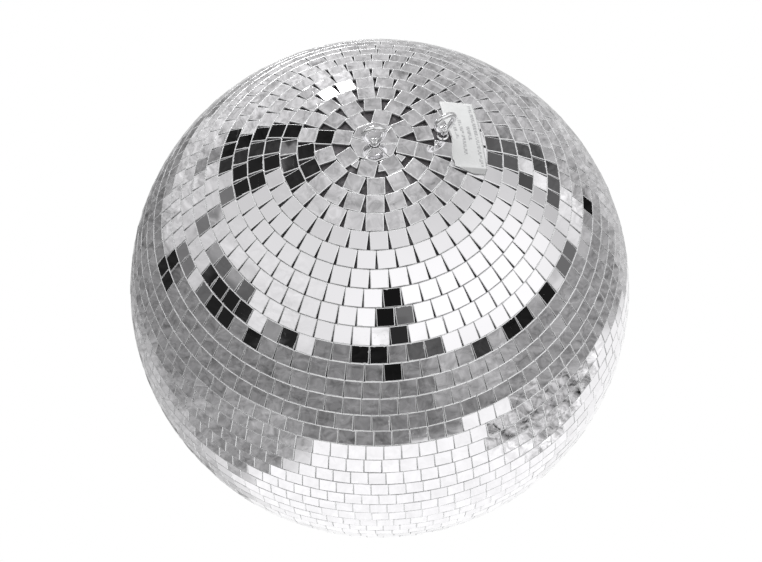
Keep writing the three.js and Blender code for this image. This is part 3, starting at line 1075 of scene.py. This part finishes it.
STUDIO_STANDS = (
    ("lamp_head", -121, 73, 12, 9, 1, 0.13),
    ("lamp_arm", -103, 63, 17, 6.5, 1, 0.15),
    ("lamp_knob", -83, 63, 6.5, 6.5, 1, 0.16),
    ("lamp_leg_left", -129, 42, 5, 17, 0.8, 0.12),
    ("lamp_leg_middle", -119, 44, 4, 15, 0.8, 0.20),
    ("lamp_clamp", -106, 45, 9, 11, 1, 0.14),
    ("lamp_leg_right", -103, 16, 4, 17, 0.8, 0.45),
    ("lamp_weight", -130, 20, 4, 6, 1, 0.55),
    ("crates", -74, 9, 15.5, 9, 1.5, 0.38),
    ("crate_shadow", -74.5, 5.5, 11.5, 7.5, 1, 0.13),
    ("crate_low", -113, -3.5, 8, 4, 0.8, 0.13),
    ("tool_bag", -57, -4, 3.4, 3.4, 0.8, 0.12),
    ("shelf", -45, 4, 6, 4, 1, 0.56),
    ("shelf_box", -37, 3, 4, 3.4, 0.8, 0.14),
    ("camera_back", 10, 16, 5, 5, 0.8, 0.42),
    ("camera", 6, 24, 4.2, 5, 0.8, 0.09),
    ("camera_lens", 0, 15, 3.4, 4, 0.8, 0.09),
    ("tripod", 7, 8, 4.4, 7.5, 0.8, 0.17),
    ("tripod_left", -3, 0, 11, 4.6, 0.8, 0.10),
    ("tripod_right", 20, 0.5, 8, 3.6, 0.8, 0.34),
    ("tripod_foot", 4, -9, 4.4, 3.6, 0.8, 0.09),
    ("cable_reel", 42, -5, 4, 2.6, 0.8, 0.22),
    ("bench_near", 60, -1.5, 7, 3, 0.8, 0.11),
    ("bench_far", 74, 3.2, 8, 3, 0.8, 0.11),
    ("bench_end", 95, 6, 9, 3, 1, 0.42),
    ("chair_glare", 114, 11, 9, 5, 1, 0.89),
    ("chair_gap", 113, 27, 6, 5, 1, 0.93),
    ("chair_back", 112, 40, 6.5, 5.5, 1, 0.36),
    ("chair_side", 106, 33, 3.6, 3.6, 0.8, 0.30),
    ("chair_post", 123, 26, 3.6, 14, 0.8, 0.32),
    ("chair_seat", 114, 19, 9, 2.8, 0.8, 0.36),
    ("socket_box", 127, 2, 3.2, 2.8, 0.8, 0.10),
)
# Where the studio is mottled, laid out in the same way. The last number is how strongly.
STUDIO_MOTTLES = (
    ("behind", 180, 25, 65, 40, 15, 1.35),
    ("overhead", 0, 80, 181, 25, 8, 1.25),
    ("cloth", 86, -41, 30, 13, 4, 2.6),
    ("under_stands", -80, 10, 50, 20, 8, 0.35),
)
DEGREES = 180 / math.pi
KEY_SPREAD, RIM_SPREAD = 60, 14  # how wide the two lights are, in degrees
RIM_FROM = (-0.2, 0.93, 0.31)  # the way to the small light that glints on edges
CARPET_LEVEL, TABLE_LEVEL = 0.505, 0.985  # greys of the studio's floor and of the white table under the ball
WALL_LEVEL = 0.69
TABLE_EDGE = -43  # height of the table's edge, in degrees


def studio_panel_group():
    """A soft-edged rectangle in the studio, as a mask."""
    tree = bpy.data.node_groups.new("Studio panel", "ShaderNodeTree")
    for name in ("Azimuth", "Height", "At Azimuth", "At Height", "Half Width", "Half Height", "Softness"):
        add_socket(tree, name, "NodeSocketFloat", 1.0)
    add_socket(tree, "Mask", "NodeSocketFloat", way="OUTPUT")
    given = put(tree, "NodeGroupInput").outputs
    round_it = calc(tree, "WRAP", minus(tree, given["Azimuth"], given["At Azimuth"]), 180.0, -180.0)
    above_it = minus(tree, given["Height"], given["At Height"])
    sides = []
    for away, half in ((round_it, "Half Width"), (above_it, "Half Height")):
        inner = minus(tree, given[half], given["Softness"])
        outer = plus(tree, given[half], given["Softness"])
        sides.append(minus(tree, 1.0, ramp(tree, calc(tree, "ABSOLUTE", away), inner, outer)))
    end = put(tree, "NodeGroupOutput")
    tree.links.new(times(tree, *sides), end.inputs["Mask"])
    return tree


def swing(tree, value, amount):
    """Turns grey noise into a swing to either side of nothing."""
    return times(tree, minus(tree, value, 0.5), amount)


def studio_light(tree, stage, silver):
    """The light that the mirrors see in every direction, made up for what the silver takes away."""
    towards = put(tree, "ShaderNodeTexCoord").outputs["Generated"]
    upright = put(tree, "ShaderNodeVectorRotate", {"Vector": towards, "Angle": stage.room_tilt},
                  rotation_type="X_AXIS").outputs[0]
    axes = put(tree, "ShaderNodeSeparateXYZ", {0: upright}).outputs
    squashed = {0: upright, 1: (1.0, 1.0, 3.5)}
    flat = put(tree, "ShaderNodeVectorMath", squashed, operation="MULTIPLY").outputs[0]
    grain, streaks = noise(tree, upright, 380.0, 3.0, 0.8), noise(tree, flat, 70.0, 3.0, 0.65)
    ragged, broad = noise(tree, upright, 26.0, 3.0, 0.6), noise(tree, upright, 7.0, 2.0)
    height = times(tree, calc(tree, "ARCSINE", axes[2]), DEGREES)
    height = plus(tree, height, plus(tree, swing(tree, ragged, 3.0), swing(tree, broad, 4.0)))
    azimuth = calc(tree, "ARCTAN2", axes[0], times(tree, axes[1], -1.0))
    azimuth = plus(tree, times(tree, azimuth, DEGREES), swing(tree, streaks, 1.6))

    panel = studio_panel_group()

    def mask_of(at_azimuth, at_height, half_width, half_height, softness):
        return put(tree, "ShaderNodeGroup", {
            "Azimuth": azimuth, "Height": height, "At Azimuth": at_azimuth, "At Height": at_height,
            "Half Width": half_width, "Half Height": half_height, "Softness": softness,
        }, node_tree=panel).outputs[0]

    def add_panels(light, panels):
        for _, *place, level in panels:
            light = blend_value(tree, mask_of(*place), light, tone(level))
        return light

    walls = add_panels(tone(WALL_LEVEL), STUDIO_WALLS)
    on_table = ramp(tree, height, TABLE_EDGE + 0.5, TABLE_EDGE - 0.5)
    ground = blend_value(tree, on_table, tone(CARPET_LEVEL), tone(TABLE_LEVEL))
    ground = add_panels(ground, STUDIO_GROUND)
    light = blend_value(tree, ramp(tree, height, 0.8, -0.8), walls, ground)
    light = add_panels(light, STUDIO_STANDS)

    dark_enough = ramp(tree, light, tone(0.85), tone(0.60), 0.0, 1.3)
    carpet = times(tree, ramp(tree, height, 3.0, -3.0), dark_enough)
    table = ramp(tree, height, -30.0, -45.0, 0.0, 0.22)
    rough = calc(tree, "MAXIMUM", carpet, table)
    for _, *place, amount in STUDIO_MOTTLES:
        rough = calc(tree, "MAXIMUM", rough, times(tree, mask_of(*place), amount))
    texture = plus(tree, swing(tree, grain, 1.3), swing(tree, streaks, 1.5))
    light = times(tree, light, plus(tree, 1.0, times(tree, rough, texture)))
    return calc(tree, "DIVIDE", calc(tree, "MAXIMUM", light, 0.0), silver)


def studio_world(stage, silver):
    """The studio as it shows in the mirrors, behind a plain white backdrop."""
    world = bpy.data.worlds.new("Studio")
    world.use_nodes = True
    tree = world.node_tree
    tree.nodes.clear()
    room = put(tree, "ShaderNodeBackground", {0: studio_light(tree, stage, silver)})
    backdrop = put(tree, "ShaderNodeBackground", {0: (1, 1, 1, 1)})
    seen = put(tree, "ShaderNodeLightPath").outputs["Is Camera Ray"]
    mixed = put(tree, "ShaderNodeMixShader", {0: seen, 1: room.outputs[0], 2: backdrop.outputs[0]})
    put(tree, "ShaderNodeOutputWorld", {0: mixed.outputs[0]})
    return world


def studio_floor():
    """A wide white floor just under the ball. The mirrors see the painted studio instead."""
    material = bpy.data.materials.new("studio_floor")
    material.use_nodes = True
    tree = material.node_tree
    tree.nodes.clear()
    glow = put(tree, "ShaderNodeEmission", {"Color": (1, 1, 1, 1), "Strength": 1.0})
    put(tree, "ShaderNodeOutputMaterial", {0: glow.outputs[0]})
    bm = bmesh.new()
    bmesh.ops.create_circle(bm, cap_ends=True, segments=64, radius=6.0)
    floor = object_from(bm, "studio_floor", material)
    floor.location.z = CAD_BOX[0].z - 0.5 * MM
    floor.visible_glossy = False
    floor.visible_diffuse = False


def far_light(scene, name, strength, spread):
    """Adds a distant light, as wide as spread in degrees."""
    data = bpy.data.lights.new(name, "SUN")
    data.energy, data.angle = strength, math.radians(spread)
    lamp = bpy.data.objects.new(name, data)
    scene.collection.objects.link(lamp)
    return lamp


class MIRRORBALL_OT_stage(bpy.types.Operator):
    """Sets the camera, the floor and the studio round the ball."""

    bl_idname = "mirror_ball.stage"
    bl_label = "Stage"

    def execute(self, context):
        scene, stage = context.scene, context.scene.mirror_ball_stage
        scene.world = studio_world(stage, scene.mirror_ball_finish.silver[0])
        scene.view_settings.view_transform = "Standard"
        studio_floor()
        key = far_light(scene, "key_light", stage.key, KEY_SPREAD)
        key.rotation_euler = (math.radians(-48), 0, math.radians(12))
        key.visible_glossy = False
        rim = far_light(scene, "rim_light", stage.rim, RIM_SPREAD)
        rim.rotation_mode = "QUATERNION"
        rim.rotation_quaternion = Vector(RIM_FROM).to_track_quat("Z", "Y")
        data = bpy.data.cameras.new("Camera")
        data.lens, data.sensor_width = stage.lens, 36.0
        camera = bpy.data.objects.new("Camera", data)
        scene.collection.objects.link(camera)
        back = Vector((0, -math.cos(stage.elevation), math.sin(stage.elevation)))
        facing = back.to_track_quat("Z", "Y").to_matrix().to_4x4() @ Matrix.Rotation(-stage.roll, 4, "Z")
        middle = Vector((0, 0, CENTRE_HEIGHT))
        camera.matrix_world = Matrix.Translation(middle + back * stage.distance) @ facing
        aim = facing @ Vector((stage.aim_right, stage.aim_up, -stage.distance))
        camera.rotation_mode = "QUATERNION"
        correction = (facing @ Vector((0, 0, -1))).rotation_difference(aim.normalized())
        camera.rotation_quaternion = correction @ facing.to_quaternion()
        scene.camera = camera
        return {"FINISHED"}


# ---------------------------------------------------------------- add-on

STEPS = (
    MIRRORBALL_OT_stage,
    MIRRORBALL_OT_core,
    MIRRORBALL_OT_tile_rows,
    MIRRORBALL_OT_pole_pieces,
    MIRRORBALL_OT_eyes,
    MIRRORBALL_OT_inner_hardware,
    MIRRORBALL_OT_label,
)


class MIRRORBALL_PT_panel(bpy.types.Panel):
    """Lists the ball's settings and steps."""

    bl_idname = "MIRRORBALL_PT_panel"
    bl_label = "Mirror ball"
    bl_space_type = "VIEW_3D"
    bl_region_type = "UI"
    bl_category = "Mirror ball"

    def draw(self, context):
        for step in STEPS:
            self.layout.operator(step.bl_idname)
        for name, group in SETTINGS.items():
            box = self.layout.box()
            for key in group.__annotations__:
                box.prop(getattr(context.scene, name), key)


CLASSES = (*SETTINGS.values(), *STEPS, MIRRORBALL_PT_panel)


def register():
    """Adds the classes and their settings to Blender."""
    for one in CLASSES:
        bpy.utils.register_class(one)
    for name, group in SETTINGS.items():
        setattr(bpy.types.Scene, name, PointerProperty(type=group))


def unregister():
    """Takes them out again."""
    for name in SETTINGS:
        delattr(bpy.types.Scene, name)
    for one in reversed(CLASSES):
        bpy.utils.unregister_class(one)


def main():
    """Builds the ball."""
    register()
    for step in STEPS:
        group, name = step.bl_idname.split(".")
        getattr(getattr(bpy.ops, group), name)()


if __name__ == "__main__":
    main()
